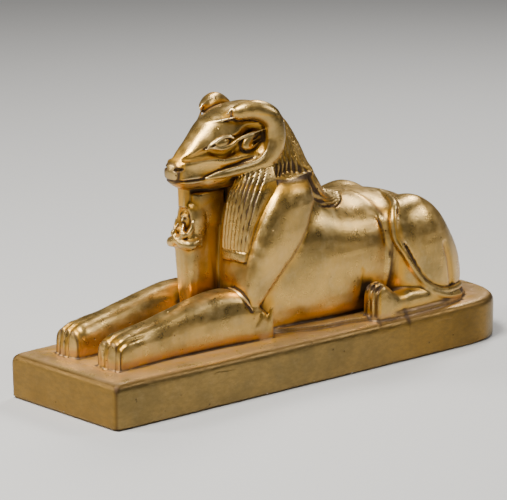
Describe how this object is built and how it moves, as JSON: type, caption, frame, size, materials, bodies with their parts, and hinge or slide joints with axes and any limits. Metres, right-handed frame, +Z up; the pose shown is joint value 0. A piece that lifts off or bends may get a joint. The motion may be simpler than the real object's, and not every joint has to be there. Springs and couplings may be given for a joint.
{
  "type": "ram-headed sphinx statue",
  "caption": "Small gilt plaster statue of a lying lion with a ram's head, a pleated wig and a little king standing between its forelegs, cast together with a flat plinth rounded at the rear.",
  "frame": {"origin": "middle of the plinth's underside", "axes": "+Z up, +Y along the plinth from the ram's nose towards the rump, so the statue faces -Y; +X is the statue's left side"},
  "size_m": [0.0934, 0.26, 0.1347],
  "materials": {
    "gilt_plaster": "gold paint rubbed to a soft sheen over cast plaster, darker in the hollows, worn towards pink brown on the plinth's top"
  },
  "bodies": {
    "root": {"ram_headed_sphinx": "gilt_plaster"}
  },
  "joints": []
}
